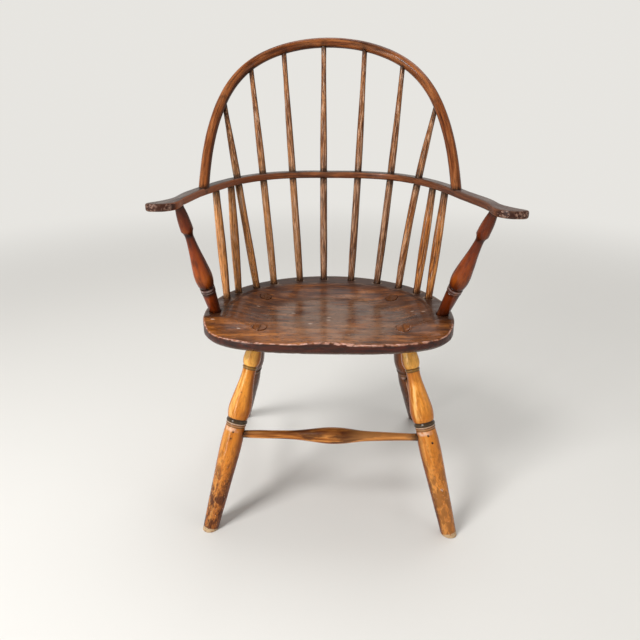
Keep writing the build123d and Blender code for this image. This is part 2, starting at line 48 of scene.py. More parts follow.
SEAT_HALF_WIDTH = 0.2635
SEAT_HEIGHT = 0.435
SEAT_FRONT_FROM = -0.135
WORN_ARRIS_FROM, WORN_ARRIS_FULL = -0.095, -0.140
WORN_ARRIS_LOW, WORN_ARRIS_HIGH = 0.412, 0.418
DECK_FROM, DECK_FULL = SEAT_HEIGHT - 0.0018, SEAT_HEIGHT - 0.0006
GUTTER_FROM, GUTTER_FULL = SEAT_HEIGHT - 0.0080, SEAT_HEIGHT - 0.0050
TENON_MARKS = ((-0.1365, -0.060), (0.1515, -0.060))
TENON_MARK_HEIGHT = 0.4175
TENON_MARK_RADIUS = 0.013
SAT_ON = (0.01, -0.06, SEAT_HEIGHT)
SAT_ON_RADIUS = 0.17
WIDTH_SHIFT = -0.00934
DEPTH_SHIFT = -0.06406
GUIDE_STEPS = 400
WELD = 0.00001
SHARP_ANGLE = radians(38)
ARRIS_STANDS = 0.0008


def at(x, y, z):
    """A place laid out from the centre of the seat."""
    return Vector((x + WIDTH_SHIFT, y + DEPTH_SHIFT, z))


def add_node(tree, kind, inputs=(), **settings):
    """Adds a node to a tree, with its settings made and its inputs linked or set."""
    node = tree.nodes.new(kind)
    for name, value in settings.items():
        setattr(node, name, value)
    for key, value in dict(inputs).items():
        if isinstance(value, bpy.types.NodeSocket):
            tree.links.new(value, node.inputs[key])
        else:
            node.inputs[key].default_value = value
    return node.outputs


def worked_surface():
    """The tree that turns a sawn or turned blank into a hand-worked, used one.

    It stores where each point lies along and across the grain, how near another piece
    joins, and how much the surface stands proud as an arris, then waves and chips it.
    """
    tree = bpy.data.node_groups.new("worked_surface", "GeometryNodeTree")
    sockets = tree.interface
    sockets.new_socket("Geometry", in_out="OUTPUT", socket_type="NodeSocketGeometry")
    for label, kind, value in (
        ("Geometry", "Geometry", None),
        ("Grain Guide", "Object", None),
        ("Joined Pieces", "Collection", None),
        ("Smoothing", "Int", 0),
        ("Arris Blur", "Int", 8),
        ("Wave Height", "Float", 0.0004),
        ("Wave Length", "Float", 0.05),
        ("Chip Depth", "Float", 0.0),
        ("Chip Length", "Float", 0.012),
        ("Chip Before", "Float", 10.0),
        ("Seed", "Float", 0.0),
        ("Finish", "Material", None),
    ):
        socket = sockets.new_socket(label, in_out="INPUT", socket_type="NodeSocket" + kind)
        if value is not None:
            socket.default_value = value
    given = tree.nodes.new("NodeGroupInput").outputs

    def add(kind, inputs=(), **settings):
        return add_node(tree, kind, inputs, **settings)

    def vector(operation, a, b):
        out = add("ShaderNodeVectorMath", {0: a, 1: b}, operation=operation)
        return out["Value"] if operation == "DOT_PRODUCT" else out["Vector"]

    def number(operation, a, b):
        return add("ShaderNodeMath", {0: a, 1: b}, operation=operation)[0]

    welded = add("GeometryNodeMergeByDistance", {"Geometry": given["Geometry"], "Distance": WELD})[0]
    position = add("GeometryNodeInputPosition")[0]
    normal = add("GeometryNodeInputNormal")[0]

    evened = add(
        "GeometryNodeBlurAttribute", {"Value": position, "Iterations": given["Smoothing"]},
        data_type="FLOAT_VECTOR",
    )[0]
    surface = add("GeometryNodeSetPosition", {"Geometry": welded, "Position": evened})[0]

    guide = add("GeometryNodeObjectInfo", {"Object": given["Grain Guide"]})["Geometry"]
    stations = add("GeometryNodeCurveToPoints", {"Curve": guide, "Count": GUIDE_STEPS}, mode="COUNT")
    near = add(
        "GeometryNodeSampleNearest", {"Geometry": stations["Points"], "Sample Position": position},
    )[0]

    def sampled(value):
        return add(
            "GeometryNodeSampleIndex", {"Geometry": stations["Points"], "Value": value, "Index": near},
            data_type="FLOAT_VECTOR",
        )[0]

    tangent, across = sampled(stations["Tangent"]), sampled(stations["Normal"])
    offset = vector("SUBTRACT", position, sampled(position))
    step = number("DIVIDE", add("GeometryNodeCurveLength", {"Curve": guide})[0], GUIDE_STEPS - 1.0)
    along = number("ADD", number("MULTIPLY", near, step), vector("DOT_PRODUCT", offset, tangent))
    grain = add("ShaderNodeCombineXYZ", {
        "X": along,
        "Y": vector("DOT_PRODUCT", offset, across),
        "Z": vector("DOT_PRODUCT", offset, vector("CROSS_PRODUCT", tangent, across)),
    })[0]
    surface = add(
        "GeometryNodeStoreNamedAttribute", {"Geometry": surface, "Name": "grain", "Value": grain},
        data_type="FLOAT_VECTOR", domain="POINT",
    )[0]

    pieces = add("GeometryNodeCollectionInfo", {"Collection": given["Joined Pieces"]})[0]
    pieces = add("GeometryNodeRealizeInstances", {"Geometry": pieces})[0]
    gap = add(
        "GeometryNodeProximity", {"Target": pieces, "Source Position": position}, target_element="FACES",
    )
    surface = add(
        "GeometryNodeStoreNamedAttribute",
        {"Geometry": surface, "Name": "joint_gap", "Value": gap["Distance"]},
        data_type="FLOAT", domain="POINT",
    )[0]

    rounded = add(
        "GeometryNodeBlurAttribute", {"Value": position, "Iterations": given["Arris Blur"]},
        data_type="FLOAT_VECTOR",
    )[0]
    proud = vector("DOT_PRODUCT", vector("SUBTRACT", position, rounded), normal)
    surface = add(
        "GeometryNodeStoreNamedAttribute", {"Geometry": surface, "Name": "arris", "Value": proud},
        data_type="FLOAT", domain="POINT",
    )[0]

    def ripple(length):
        """A noise from -0.5 to 0.5 whose waves have a length."""
        out = add("ShaderNodeTexNoise", {
            "Vector": position, "W": given["Seed"], "Scale": number("DIVIDE", 1.0, length), "Detail": 2.0,
        }, noise_dimensions="4D")
        return number("SUBTRACT", out[0], 0.5)

    stored = add("GeometryNodeInputNamedAttribute", {"Name": "arris"}, data_type="FLOAT")[0]
    standing = add("ShaderNodeMapRange", {"Value": stored, "From Min": 0.0, "From Max": ARRIS_STANDS})[0]
    depth = add("ShaderNodeSeparateXYZ", {0: position})["Y"]
    chipped = number("MULTIPLY", standing, number("LESS_THAN", depth, given["Chip Before"]))
    chips = number("MULTIPLY", chipped, number("MAXIMUM", ripple(given["Chip Length"]), 0.0))
    lift = number(
        "SUBTRACT",
        number("MULTIPLY", ripple(given["Wave Length"]), given["Wave Height"]),
        number("MULTIPLY", chips, given["Chip Depth"]),
    )
    moved = add("ShaderNodeVectorMath", {0: normal, "Scale": lift}, operation="SCALE")["Vector"]
    surface = add("GeometryNodeSetPosition", {"Geometry": surface, "Offset": moved})[0]

    smooth = add(
        "GeometryNodeSetShadeSmooth", {"Geometry": surface, "Shade Smooth": True}, domain="FACE",
    )[0]
    bend = add("GeometryNodeInputMeshEdgeAngle")["Unsigned Angle"]
    hard = number("GREATER_THAN", bend, SHARP_ANGLE)
    smooth = add(
        "GeometryNodeSetShadeSmooth", {"Geometry": smooth, "Selection": hard, "Shade Smooth": False},
        domain="EDGE",
    )[0]
    whole = add("GeometryNodeRealizeInstances", {"Geometry": smooth})[0]
    finished = add("GeometryNodeSetMaterial", {"Geometry": whole, "Material": given["Finish"]})[0]
    out = tree.nodes.new("NodeGroupOutput")
    tree.links.new(finished, out.inputs[0])
    return tree


surface_tree = worked_surface()


def guide_line(points):
    """The line that a piece's grain follows, through points."""
    line = bpy.data.curves.new("grain_guide", "CURVE")
    line.dimensions = "3D"
    spline = line.splines.new("BEZIER")
    spline.bezier_points.add(len(points) - 1)
    for knot, point in zip(spline.bezier_points, points):
        knot.co = point
        knot.handle_left_type = knot.handle_right_type = "AUTO" if len(points) > 2 else "VECTOR"
    guide = bpy.data.objects.new("grain_guide", line)
    bpy.context.scene.collection.objects.link(guide)
    return guide


def work(node, material, slot, points, joined, voxel=None, **sizes):
    """Works a CAD piece by hand: the worked copy stands in the piece's place."""
    blank = bpy.data.objects.new("blank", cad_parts[node].data.copy())
    bpy.context.scene.collection.objects.link(blank)
    neighbours = bpy.data.collections.new("neighbours")
    for other in joined:
        neighbours.objects.link(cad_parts[other])
    if voxel:
        weld = blank.modifiers.new("weld", "WELD")
        weld.merge_threshold = WELD
        remesh = blank.modifiers.new("even_mesh", "REMESH")
        remesh.mode = "VOXEL"
        remesh.voxel_size = voxel
    guide = guide_line(points)
    modifier = blank.modifiers.new("worked", "NODES")
    modifier.node_group = surface_tree
    values = {
        "Grain Guide": guide,
        "Joined Pieces": neighbours,
        "Finish": material,
        "Seed": float(len(bpy.data.meshes)),
    }
    for key, value in sizes.items():
        values[key.replace("_", " ").title()] = value
    for item in surface_tree.interface.items_tree:
        if item.in_out == "INPUT" and item.name in values:
            modifier[item.identifier] = values[item.name]
    done = blank.evaluated_get(bpy.context.evaluated_depsgraph_get())
    mesh = bpy.data.meshes.new_from_object(done)
    for helper in (blank, guide):
        bpy.data.objects.remove(helper)
    bpy.data.collections.remove(neighbours)
    piece = bpy.data.objects.new("worked_" + node, mesh)
    bpy.context.scene.collection.objects.link(piece)
    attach(piece, "root")
    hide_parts(node)
    return piece


class Finish:
    """A wood finish that is built up in layers of colour, gloss and fine relief."""

    CORE_SHARE = 0.6
    CLOSE_SHARE = 0.35
    TOUCHING = 0.0004

    def __init__(self, name):
        self.material = bpy.data.materials.new(name)
        self.material.use_nodes = True
        self.tree = self.material.node_tree
        self.shader = self.tree.nodes["Principled BSDF"]
        self.grain = self.read("grain")["Vector"]
        self.place = self.add("ShaderNodeTexCoord")["Object"]
        self.colour = None
        self.gloss = None

    def add(self, kind, inputs=(), **settings):
        return add_node(self.tree, kind, inputs, **settings)

    def read(self, attribute):
        return self.add("ShaderNodeAttribute", attribute_name=attribute)

    def number(self, operation, *values):
        return self.add("ShaderNodeMath", dict(enumerate(values)), operation=operation)[0]

    def product(self, total=1.0, *others):
        """Values multiplied together, or one where there are none."""
        for other in others:
            total = self.number("MULTIPLY", total, other)
        return total

    def part(self, vector, axis):
        return self.add("ShaderNodeSeparateXYZ", {0: vector})[axis]

    def band(self, value, low, high):
        """Nought below low and one above high, or the other way round where low is the larger."""
        ends = {"Value": value, "From Min": low, "From Max": high}
        return self.add("ShaderNodeMapRange", ends, interpolation_type="SMOOTHSTEP")[0]

    def noise(self, length, stretch, detail=4.0, shift=0.0, distortion=0.0):
        """A noise whose grains have a length across the wood and are stretched along it."""
        scale = 1 / length
        mapped = self.add("ShaderNodeMapping", {
            "Vector": self.grain,
            "Location": (shift, shift * 2, -shift),
            "Scale": (scale / stretch, scale, scale),
        })[0]
        return self.add("ShaderNodeTexNoise", {
            "Vector": mapped, "Scale": 1.0, "Detail": detail, "Distortion": distortion,
        })[0]

    def spots(self, length, size_share, stretch, shift=0.0):
        """Separate small spots, one or none in each cell of a length."""
        scale = 1 / length
        mapped = self.add("ShaderNodeMapping", {
            "Vector": self.grain,
            "Location": (shift, shift, shift),
            "Scale": (scale / stretch, scale, scale),
        })[0]
        cells = self.add("ShaderNodeTexVoronoi", {"Vector": mapped, "Scale": 1.0})
        return self.band(cells["Distance"], size_share, size_share / 2)

    def near(self, point, radius):
        """One within a radius of a place on the piece, and nought outside it."""
        away = self.add("ShaderNodeVectorMath", {0: self.place, 1: point}, operation="DISTANCE")["Value"]
        return self.band(away, radius, radius * self.CORE_SHARE)

    def facing(self, direction, low, high):
        """How squarely the surface faces a direction, from nought at low to one at high."""
        turned = self.add("ShaderNodeNewGeometry")["Normal"]
        aim = Vector(direction).normalized()
        square = self.add("ShaderNodeVectorMath", {0: turned, 1: aim}, operation="DOT_PRODUCT")["Value"]
        return self.band(square, low, high)

    def shades(self, value, stops):
        """Colours laid along a value from nought to one."""
        node = self.tree.nodes.new("ShaderNodeValToRGB")
        ramp = node.color_ramp
        self.tree.links.new(value, node.inputs[0])
        while len(ramp.elements) < len(stops):
            ramp.elements.new(0.5)
        for element, (spot, colour) in zip(ramp.elements, stops):
            element.position = spot
            element.color = (*colour, 1)
        return node.outputs[0]

    def along(self, length, stops):
        """Colours laid along the grain, at distances in metres."""
        run = self.number("DIVIDE", self.part(self.grain, 0), length)
        return self.shades(run, [(spot / length, colour) for spot, colour in stops])

    def lay(self, colour, *amounts):
        """Lays a colour over what is there, by its amounts multiplied together."""
        if self.colour is None:
            self.colour = colour
            return
        paint = colour if isinstance(colour, bpy.types.NodeSocket) else (*colour, 1)
        node = self.tree.nodes.new("ShaderNodeMix")
        node.data_type = "RGBA"
        amount = self.product(*amounts)
        for key, value in (("Factor_Float", amount), ("A_Color", self.colour), ("B_Color", paint)):
            socket = next(s for s in node.inputs if s.identifier == key)
            if isinstance(value, bpy.types.NodeSocket):
                self.tree.links.new(value, socket)
            else:
                socket.default_value = value
        self.colour = next(s for s in node.outputs if s.identifier == "Result_Color")

    def joints(self, colour, reach, strength):
        """Old wax and dirt gathered where other pieces join."""
        close = self.band(self.read("joint_gap")["Fac"], reach, self.TOUCHING)
        ragged = self.product(close, self.band(self.noise(0.004, 1.5), 0.3, 0.55))
        closest = self.band(self.read("joint_gap")["Fac"], reach * self.CLOSE_SHARE, self.TOUCHING)
        self.lay(colour, self.number("MAXIMUM", ragged, closest), strength)

    def done(self, rough, relief, coat=0.0, coat_rough=0.2, specular=0.10):
        """Joins the layers to the shader: roughness limits, and (height field, depth) reliefs."""
        shader = self.shader
        self.tree.links.new(self.colour, shader.inputs["Base Color"])
        wear = self.gloss or self.noise(0.02, 3.0, shift=7.0)
        spread = self.add("ShaderNodeMapRange", {
            "Value": wear, "From Min": 0.3, "From Max": 0.7, "To Min": rough[0], "To Max": rough[1],
        })[0]
        self.tree.links.new(spread, shader.inputs["Roughness"])
        shader.inputs["Specular IOR Level"].default_value = specular
        shader.inputs["Coat Weight"].default_value = coat
        shader.inputs["Coat Roughness"].default_value = coat_rough
        normal = None
        for height, depth in relief:
            inputs = {"Height": height, "Distance": depth, "Strength": 1.0}
            if normal is not None:
                inputs["Normal"] = normal
            normal = self.add("ShaderNodeBump", inputs)[0]
        if normal is not None:
            self.tree.links.new(normal, shader.inputs["Normal"])
        return self.material


seat_finish = Finish("seat_wood")
seat_figure = seat_finish.noise(0.011, 9.0, detail=8.0, distortion=0.7)
seat_pores = seat_finish.noise(0.0011, 14.0, detail=3.0, shift=3.0)
seat_finish.lay(seat_finish.shades(seat_figure, (
    (0.32, (0.032, 0.007, 0.001)),
    (0.46, (0.095, 0.024, 0.003)),
    (0.56, (0.175, 0.048, 0.007)),
    (0.72, (0.320, 0.105, 0.018)),
)))
seat_x, seat_y, seat_z = (seat_finish.part(seat_finish.place, axis) for axis in range(3))
# worn warm where thighs rub, at the front and most of all on the right of the sitter
thigh_side = seat_finish.number(
    "ADD", seat_finish.product(seat_finish.band(seat_x, 0.22, -0.12), 0.22), 0.5,
)
thigh_rub = seat_finish.product(
    seat_finish.band(seat_y, -0.06, -0.17),
    seat_finish.band(seat_finish.noise(0.03, 3.0, detail=6.0, shift=1.7), 0.3, 0.58),
)
seat_finish.lay(
    seat_finish.shades(seat_figure, ((0.32, (0.19, 0.052, 0.008)), (0.7, (0.58, 0.2, 0.036)))),
    thigh_rub,
    thigh_side,
)
# left dark on the sitter's left and round the edge of the hollow
unworn = seat_finish.product(
    seat_finish.band(seat_x, 0.03, 0.19),
    seat_finish.band(seat_finish.noise(0.05, 1.5, shift=2.2), 0.36, 0.6),
)
seat_finish.lay((0.06, 0.022, 0.008), unworn, seat_finish.band(seat_y, -0.17, -0.09), 0.55)
# a painted grey sheen over the middle, where it has been sat on
sat_on_sheen = seat_finish.product(
    seat_finish.near(SAT_ON, SAT_ON_RADIUS),
    seat_finish.band(seat_finish.noise(0.035, 1.4, shift=7.7), 0.34, 0.56),
)
seat_finish.lay((0.3, 0.18, 0.11), sat_on_sheen, 0.38)
seat_finish.lay((0.022, 0.007, 0.003), seat_finish.band(seat_pores, 0.5, 0.36), 0.75)
smudges = seat_finish.noise(0.006, 2.0, detail=6.0, shift=11.0)
seat_finish.lay((0.05, 0.015, 0.005), seat_finish.band(smudges, 0.55, 0.68), 0.65)
# dark wax on the flat deck round the back and in its gutter
deck_level = seat_finish.band(seat_z, DECK_FROM, DECK_FULL)
seat_finish.lay((0.04, 0.016, 0.009), deck_level, 0.8)
seat_arris = seat_finish.read("arris")["Fac"]
gutter = seat_finish.product(
    seat_finish.band(seat_arris, -0.0001, -0.00035), seat_finish.band(seat_z, GUTTER_FROM, GUTTER_FULL),
)
seat_finish.lay((0.014, 0.005, 0.003), gutter, 0.85)
gutter_lip = seat_finish.product(
    deck_level, seat_finish.band(seat_arris, 0.00015, 0.0004), seat_finish.band(seat_y, -0.05, 0.0),
)
seat_finish.lay(
    (0.42, 0.26, 0.16),
    gutter_lip,
    seat_finish.band(seat_finish.noise(0.02, 1.0, shift=3.3), 0.42, 0.58),
    0.4,
)
# stained reddish dark on the sawn edge
seat_side = seat_finish.facing((0, 0, 1), 0.60, 0.25)
edge_streaks = seat_finish.noise(0.006, 8.0, detail=6.0, shift=6.0)
seat_finish.lay(
    seat_finish.shades(edge_streaks, ((0.35, (0.014, 0.002, 0.001)), (0.7, (0.08, 0.009, 0.001)))),
    seat_side,
    0.97,
)
seat_finish.lay((0.070, 0.028, 0.012), seat_finish.facing((0, 0, -1), 0.3, 0.7))
seat_finish.joints((0.014, 0.006, 0.003), 0.0022, 0.75)
# bare pale wood along the front arris, broadest just left of the sitter's middle
upper_front = seat_finish.product(
    seat_finish.band(seat_y, WORN_ARRIS_FROM, WORN_ARRIS_FULL),
    seat_finish.band(seat_z, WORN_ARRIS_LOW, WORN_ARRIS_HIGH),
)
ragged = seat_finish.noise(0.005, 2.2, detail=6.0, shift=5.0)
line = seat_finish.product(
    seat_finish.band(seat_arris, 0.0008, 0.0012), seat_finish.band(ragged, 0.38, 0.5),
)
broad_part = seat_finish.product(
    seat_finish.band(seat_x, -0.05, 0.02), seat_finish.band(seat_x, 0.15, 0.1),
)
broad = seat_finish.product(
    seat_finish.band(seat_arris, 0.0004, 0.0008), seat_finish.band(ragged, 0.42, 0.52), broad_part,
)
bare = seat_finish.product(seat_finish.number("MAXIMUM", line, broad), upper_front)
seat_finish.lay(
    seat_finish.shades(
        seat_finish.noise(0.004, 2.0, shift=12.0),
        ((0.35, (0.42, 0.15, 0.075)), (0.6, (0.72, 0.42, 0.33))),
    ),
    bare,
    0.92,
)
# scuffs scattered over the dish, and over the ends of the front tenons
scuffs = seat_finish.product(
    seat_finish.spots(0.022, 0.1, 3.0),
    seat_finish.band(seat_finish.noise(0.07, 1.0, shift=9.0), 0.48, 0.56),
)
seat_finish.lay((0.56, 0.4, 0.3), scuffs, 0.85)
for mark_x, mark_y in TENON_MARKS:
    over_tenon = seat_finish.product(
        seat_finish.near(at(mark_x, mark_y, TENON_MARK_HEIGHT), TENON_MARK_RADIUS),
        seat_finish.band(ragged, 0.5, 0.58),
    )
    seat_finish.lay((0.48, 0.33, 0.24), over_tenon, 0.45)
seat_polish = seat_finish.number(
    "SUBTRACT",
    seat_finish.product(seat_finish.near(SAT_ON, SAT_ON_RADIUS), 0.5),
    seat_finish.product(seat_finish.band(seat_y, -0.02, 0.05), 0.3),
)
seat_finish.gloss = seat_finish.number("SUBTRACT", seat_finish.noise(0.02, 3.0, shift=7.0), seat_polish)
seat_wood = seat_finish.done(
    (0.16, 0.62), ((seat_pores, 0.0003), (seat_finish.noise(0.02, 2.0, shift=4.0), 0.0012)),
    coat=0.16, coat_rough=0.12, specular=0.28,
)

SPINDLES = [f"long_spindle_{number}" for number in range(1, 8)]
SPINDLES += [f"short_spindle_{number}" for number in range(1, 5)]
POSTS = ["arm_post_right", "arm_post_left"]
LEGS = [f"{end}_leg_{side}" for end in ("front", "rear") for side in ("right", "left")]
WEDGES = [leg.replace("leg", "wedge") for leg in LEGS]
STRETCHERS = ["front_stretcher", "side_stretcher_right", "side_stretcher_left"]
work(
    "seat", seat_wood, "seat_wood",
    [at(-SEAT_HALF_WIDTH, 0, SEAT_HEIGHT), at(SEAT_HALF_WIDTH, 0, SEAT_HEIGHT)],
    SPINDLES + POSTS, voxel=SEAT_VOXEL, smoothing=2, wave_height=0.0006, wave_length=0.07,
    chip_depth=0.004, chip_length=0.011, chip_before=SEAT_FRONT_FROM,
)

# The arm rail: ash, sawn flat, steamed and bent round the back, with two hands shaped at
# its ends. Elbows and palms have polished its top, and wax has gone dark round each hole.
RAIL_VOXEL = 0.0016
RAIL_HEIGHT = 0.681
RAIL_HALF_SPAN = 0.272
RAIL_BACK = 0.250
LIT_AND_RUBBED_SIDE = (-0.25, -0.90, 0.25)
RAIL_BEND_SHARES = ((1.0, 0.0), (0.956, 0.152), (0.853, 0.448), (0.72, 0.69), (0.57, 0.855), (0.30, 0.98))
RIGHT_HAND = ((-0.2812, -0.046), (-0.298, -0.100), (-0.318, -0.140))
LEFT_HAND = ((0.2999, -0.082), (0.314, -0.130), (0.334, -0.176))
HAND_FRONT_FROM, HAND_FRONT_FULL = -0.135, -0.160
HAND_WEAR = (
    (-0.3210, -0.1315, 0.01495),
    (-0.2900, -0.1265, 0.01105),
    (0.3090, -0.1610, 0.0117),
    (0.3390, -0.1670, 0.0182),
)


def bent_finish(name, streak_dark, hue, streak_light, rubbed_and_lit, side_shade):
    """Steam-bent ash: long streaks from wax worn through over open grain.

    It is rubbed and lighter towards the front, partly as painted light, and darkened by painted shade at
    its sides.
    """
    finish = Finish(name)
    streaks = finish.noise(0.0045, 26.0, detail=5.0, distortion=0.3)
    finish.lay(finish.shades(streaks, (
        (0.30, streak_dark),
        (0.50, hue),
        (0.72, streak_light),
    )))
    # worn through, and painted light on the side that faces the light
    worn_and_lit = finish.product(
        finish.facing(LIT_AND_RUBBED_SIDE, 0.55, 0.95),
        finish.band(finish.noise(0.006, 12.0, detail=5.0, shift=4.0), 0.4, 0.62),
    )
    finish.lay(rubbed_and_lit, worn_and_lit, 0.65)
    # painted shade on the sides turned from the light
    finish.lay(side_shade, finish.facing(LIT_AND_RUBBED_SIDE, 0.5, 0.1), 0.7)
    pores = finish.noise(0.0009, 30.0, detail=2.0, shift=2.0)
    finish.lay((0.022, 0.007, 0.003), finish.band(pores, 0.48, 0.34), 0.65)
    blotches = finish.noise(0.025, 3.0, detail=5.0, shift=6.0)
    finish.lay((0.04, 0.012, 0.005), finish.band(blotches, 0.5, 0.7), 0.6)
    return finish, pores


rail_finish, rail_pores = bent_finish(
    "rail_wood", streak_dark=(0.050, 0.012, 0.004), hue=(0.180, 0.047, 0.011),
    streak_light=(0.350, 0.118, 0.036), rubbed_and_lit=(0.340, 0.112, 0.036), side_shade=(0.045, 0.011, 0.003),
)
rail_x, rail_y = (rail_finish.part(rail_finish.place, axis) for axis in (0, 1))
# a painted grey sheen over the tops, in dark streaks
rail_finish.lay(
    rail_finish.shades(
        rail_finish.noise(0.012, 8.0, detail=5.0, shift=9.0),
        ((0.35, (0.02, 0.009, 0.005)), (0.65, (0.082, 0.047, 0.031))),
    ),
    rail_finish.facing((0, 0, 1), 0.55, 0.85),
    0.85,
)
# redder on the inner side towards the sitter's right, as painted light, and painted shade towards the
# left
rail_finish.lay(
    (0.36, 0.1, 0.03),
    rail_finish.band(rail_x, -0.1, -0.24),
    rail_finish.facing((0.8, -0.6, 0), 0.2, 0.7),
    0.6,
)
rail_finish.lay((0.07, 0.018, 0.006), rail_finish.band(rail_x, 0.1, 0.24), 0.62)
rail_finish.joints((0.014, 0.006, 0.003), 0.005, 0.85)
# the fronts of the hands, rubbed bare in patches between dark streaks
hand_front = rail_finish.product(
    rail_finish.band(rail_y, HAND_FRONT_FROM, HAND_FRONT_FULL), rail_finish.facing((0, -1, 0), 0.3, 0.6),
)
rail_finish.lay((0.03, 0.007, 0.003), hand_front, 0.94)
hand_ragged = rail_finish.noise(0.0045, 1.6, detail=6.0, shift=8.0)
for wear_x, wear_y, wear_radius in HAND_WEAR:
    hand_worn = rail_finish.band(
        rail_finish.number(
            "ADD",
            hand_ragged,
            rail_finish.product(rail_finish.near(at(wear_x, wear_y, RAIL_HEIGHT), wear_radius), 0.22),
        ),
        0.64,
        0.84,
    )
    rail_finish.lay(
        rail_finish.shades(
            rail_finish.noise(0.003, 1.5, shift=10.0),
            ((0.35, (0.18, 0.07, 0.04)), (0.62, (0.6, 0.38, 0.28))),
        ),
        hand_front,
        hand_worn,
        0.6,
    )
hand_edge = rail_finish.band(rail_finish.read("arris")["Fac"], 0.0003, 0.0008)
rail_finish.lay(
    (0.28, 0.15, 0.09),
    hand_edge,
    rail_finish.band(rail_finish.noise(0.012, 4.0, shift=5.0), 0.42, 0.6),
    0.35,
)
rail_wood = rail_finish.done(
    (0.26, 0.44), ((rail_pores, 0.00025), (rail_finish.noise(0.012, 5.0, shift=3.0), 0.0006)),
    coat=0.15, specular=0.18,
)
rail_half = [(x * RAIL_HALF_SPAN, y * RAIL_BACK) for x, y in RAIL_BEND_SHARES]
rail_points = [*RIGHT_HAND[::-1], *[(-x, y) for x, y in rail_half[1:]], (0, RAIL_BACK)]
rail_points += [*rail_half[:0:-1], *LEFT_HAND]
work(
    "arm_rail", rail_wood, "bent_wood", [at(x, y, RAIL_HEIGHT) for x, y in rail_points],
    SPINDLES + POSTS + ["back_bow"], voxel=RAIL_VOXEL, smoothing=2, wave_height=0.0006, wave_length=0.04,
    chip_depth=0.0012, chip_length=0.010,
)

# The back bow: an ash rod, shaved round, steamed and bent to a hoop that leans back, with
# its ends let into the rail.
BOW_RISE = 0.400
BOW_LEAN = radians(44.5)
BOW_FOOT_BACK = 0.031
BOW_HALF_SPAN = 0.2574
BOW_SHARES = ((1.0, 0.0), (0.992, 0.25), (0.933, 0.513), (0.827, 0.705), (0.671, 0.842), (0.415, 0.948))
BOW_CREST_SET = -0.0087

bow_finish, bow_pores = bent_finish(
    "bow_wood", streak_dark=(0.060, 0.014, 0.004), hue=(0.200, 0.052, 0.012),
    streak_light=(0.360, 0.112, 0.028), rubbed_and_lit=(0.440, 0.160, 0.052), side_shade=(0.040, 0.009, 0.003),
)
bow_finish.joints((0.014, 0.006, 0.003), 0.009, 0.95)
bow_wood = bow_finish.done(
    (0.24, 0.42), ((bow_pores, 0.0002), (bow_finish.noise(0.01, 5.0, shift=3.0), 0.0006)),
    coat=0.18, coat_rough=0.12,
)
bow_half = [(x * BOW_HALF_SPAN, y * BOW_RISE) for x, y in BOW_SHARES]
bow_points = [(BOW_CREST_SET * y / BOW_RISE - x, y) for x, y in bow_half] + [(BOW_CREST_SET, BOW_RISE)]
bow_points += [(BOW_CREST_SET * y / BOW_RISE + x, y) for x, y in reversed(bow_half)]
work(
    "back_bow", bow_wood, "bent_wood",
    [at(x, BOW_FOOT_BACK + y * sin(BOW_LEAN), RAIL_HEIGHT + y * cos(BOW_LEAN)) for x, y in bow_points],
    SPINDLES + ["arm_rail"], wave_height=0.0007, wave_length=0.035,
)

# The spindles: riven ash, shaved by eye, so no two swell alike. Seven run through the rail
# into the bow, and four stop under it. Where backs have rubbed them, the wax is thin.
SPINDLE_FRONT = (-0.05, -0.95, 0.25)
ROD_END_DEPTH = 0.003

spindle_finish = Finish("spindle_wood")
spindle_x, spindle_z = (spindle_finish.part(spindle_finish.place, axis) for axis in (0, 2))
# redder and brighter at the sides of the back, and paler above the rail
side_share = spindle_finish.band(spindle_finish.number("ABSOLUTE", spindle_x), 0.12, 0.20)
spindle_streaks = spindle_finish.noise(0.0026, 22.0, detail=7.0, distortion=0.5)
spindle_finish.lay(spindle_finish.shades(spindle_streaks, (
    (0.36, (0.065, 0.021, 0.007)),
    (0.50, (0.260, 0.105, 0.044)),
    (0.64, (0.600, 0.320, 0.170)),
)))
spindle_finish.lay(
    spindle_finish.shades(
        spindle_streaks,
        ((0.36, (0.11, 0.028, 0.005)), (0.5, (0.46, 0.145, 0.03)), (0.64, (0.82, 0.35, 0.1))),
    ),
    side_share,
    spindle_finish.band(spindle_z, 0.67, 0.6),
)
upper_share = spindle_finish.band(spindle_z, 0.66, 0.74)
spindle_finish.lay(spindle_finish.shades(spindle_streaks, (
    (0.36, (0.080, 0.022, 0.006)),
    (0.50, (0.290, 0.105, 0.034)),
    (0.64, (0.600, 0.280, 0.120)),
)), upper_share)
# painted light on the spindles at the sitter's right, below the rail
spindle_finish.lay(
    (0.95, 0.43, 0.15),
    spindle_finish.band(spindle_x, -0.04, -0.13),
    spindle_finish.band(spindle_z, 0.76, 0.66),
    0.4,
)
# fine bare fibres and painted highlight streaks towards the front, and painted shade on the sides
fibres_and_highlights = spindle_finish.band(spindle_finish.noise(0.0016, 40.0, detail=3.0, shift=5.0), 0.54, 0.64)
spindle_finish.lay((0.78, 0.52, 0.36), fibres_and_highlights, spindle_finish.facing(SPINDLE_FRONT, 0.5, 0.88), 0.75)
spindle_finish.lay((0.034, 0.011, 0.004), spindle_finish.facing(SPINDLE_FRONT, 0.66, 0.22), 0.85)
spindle_pores = spindle_finish.noise(0.0008, 28.0, detail=2.0, shift=2.0)
spindle_finish.lay((0.018, 0.006, 0.003), spindle_finish.band(spindle_pores, 0.48, 0.38), 0.75)
spindle_finish.joints((0.016, 0.007, 0.004), 0.024, 0.85)
spindle_wood = spindle_finish.done(
    (0.26, 0.44), ((spindle_pores, 0.0002), (spindle_finish.noise(0.008, 6.0, shift=3.0), 0.0006)),
    coat=0.15, coat_rough=0.15,
)


